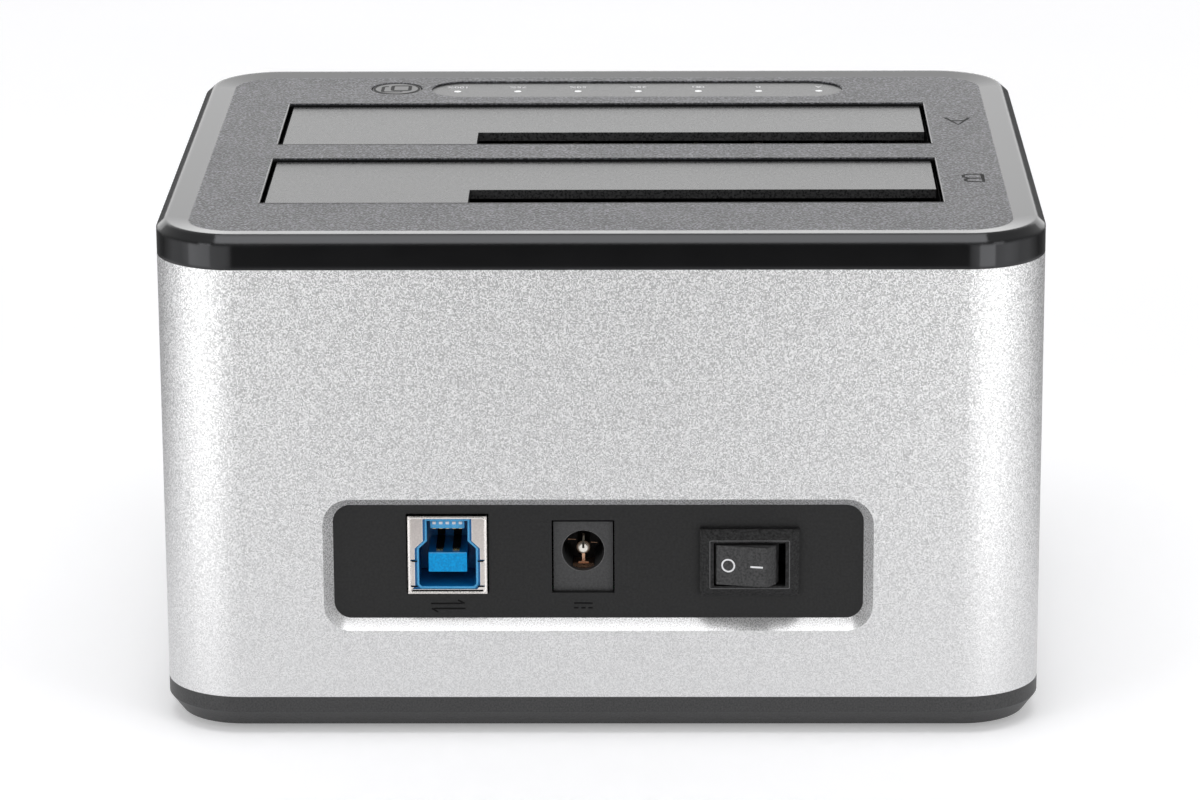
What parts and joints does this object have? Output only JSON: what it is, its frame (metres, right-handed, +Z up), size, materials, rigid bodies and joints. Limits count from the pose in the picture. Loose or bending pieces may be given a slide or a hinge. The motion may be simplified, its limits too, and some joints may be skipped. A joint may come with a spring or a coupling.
{
  "type": "drive duplicator",
  "caption": "Desktop drive duplicator: rounded aluminium sleeve, black cover with upright drive bays, sprung dust doors, copy button, data socket, power inlet and rocker switch.",
  "frame": {"origin": "middle of the case's footprint, in the plane that the rubber feet rest on", "axes": "+Z up, -Y towards the sockets and the power switch, +Y towards the button and status lights, +X to the right seen from the socket side"},
  "size_m": [0.134, 0.1135, 0.0785],
  "materials": {
    "base_black": "fine moulded grain",
    "rubber": "matt rubber",
    "screw_steel": "zinc-plated",
    "sleeve_aluminium": "bead-blasted and anodised",
    "cover_black": "gloss edge round a grained top",
    "bright_steel": "ground steel",
    "spring_steel": "spring wire",
    "frame_black": "moulded",
    "board_green": "solder resist",
    "connector_black": "moulded",
    "contact_gold": "gold-plated",
    "chip_black": "moulded package",
    "capacitor_case": "drawn can",
    "ferrite_grey": "ferrite",
    "panel_black": "satin moulded",
    "socket_steel": "tin-plated folded sheet",
    "socket_blue": "moulded",
    "jack_black": "moulded",
    "contact_copper": "bare alloy strip",
    "switch_black": "moulded grain",
    "rocker_black": "moulded grain",
    "wire_red": "insulated wire",
    "strip_grey": "satin film",
    "light_clear": "clear acrylic",
    "lamp_white": "lamp package",
    "socket_white": "moulded",
    "ribbon_white": "flat flexible lead",
    "door_grey": "satin moulded",
    "button_grey": "satin moulded"
  },
  "bodies": {
    "root": {"base_tray": "base_black", "rubber_feet": "rubber", "case_screws": "screw_steel", "aluminium_sleeve": "sleeve_aluminium", "top_cover": "cover_black", "hinge_pin_1": "bright_steel", "door_spring_1": "spring_steel", "hinge_pin_2": "bright_steel", "door_spring_2": "spring_steel", "bay_frame": "frame_black", "bay_frame_screws": "screw_steel", "main_board": "board_green", "board_screws": "screw_steel", "drive_receptacle_1": "connector_black", "drive_contacts_1": "contact_gold", "drive_receptacle_2": "connector_black", "drive_contacts_2": "contact_gold", "bridge_chips": "chip_black", "capacitors": "capacitor_case", "power_choke": "ferrite_grey", "io_panel": "panel_black", "usb_shell": "socket_steel", "usb_insulator": "socket_blue", "usb_contacts": "contact_gold", "dc_jack_housing": "jack_black", "dc_centre_pin": "socket_steel", "dc_spring_contact": "contact_copper", "switch_housing": "switch_black", "switch_terminals": "contact_gold", "switch_wires": "wire_red", "button_spring": "spring_steel", "button_switch": "connector_black", "lights_strip": "strip_grey", "light_guide": "light_clear", "status_leds": "lamp_white", "led_board": "board_green", "led_board_screws": "screw_steel", "ribbon_sockets": "socket_white", "ribbon_lead": "ribbon_white"},
    "door_1": {"door_1": "door_grey"},
    "door_2": {"door_2": "door_grey"},
    "copy_button": {"copy_button": "button_grey"},
    "button_plunger": {"button_plunger": "connector_black"},
    "rocker": {"rocker": "rocker_black", "rocker_plunger": "contact_copper", "rocker_spring": "spring_steel"},
    "switch_blade": {"switch_blade": "contact_copper"}
  },
  "joints": [
    {"name": "door_1_hinge", "type": "hinge", "parent": "root", "child": "door_1", "pos_m": [0, 0.03375, 0.0746], "axis": [1, 0, 0], "range_deg": [0, 89], "stiffness_Nm_per_rad": 0.002, "springref_deg": -34.38, "deforming": ["door_spring_1"]},
    {"name": "door_2_hinge", "type": "hinge", "parent": "root", "child": "door_2", "pos_m": [0, -0.00425, 0.0746], "axis": [1, 0, 0], "range_deg": [0, 89], "stiffness_Nm_per_rad": 0.002, "springref_deg": -34.38, "deforming": ["door_spring_2"]},
    {"name": "copy_button_press", "type": "slide", "parent": "root", "child": "copy_button", "axis": [0, 0, -1], "range_m": [0, 0.0006], "stiffness_N_per_m": 400, "springref_m": -0.0015, "deforming": ["button_spring"]},
    {"name": "button_plunger_press", "type": "slide", "parent": "root", "child": "button_plunger", "axis": [0, 0, -1], "range_m": [0, 0.00025]},
    {"name": "rocker_tilt", "type": "hinge", "parent": "root", "child": "rocker", "pos_m": [0.02245, -0.0506, 0.02716], "axis": [0, 0, 1], "range_deg": [0, 22]},
    {"name": "switch_blade_tilt", "type": "hinge", "parent": "root", "child": "switch_blade", "pos_m": [0.02245, -0.0456, 0.02716], "axis": [0, 0, 1], "range_deg": [-16, 0]}
  ],
  "couplings": [
    {"joint": "button_plunger_press", "follows": "copy_button_press", "ratio": 0.4166},
    {"joint": "switch_blade_tilt", "follows": "rocker_tilt", "ratio": -0.72727}
  ]
}
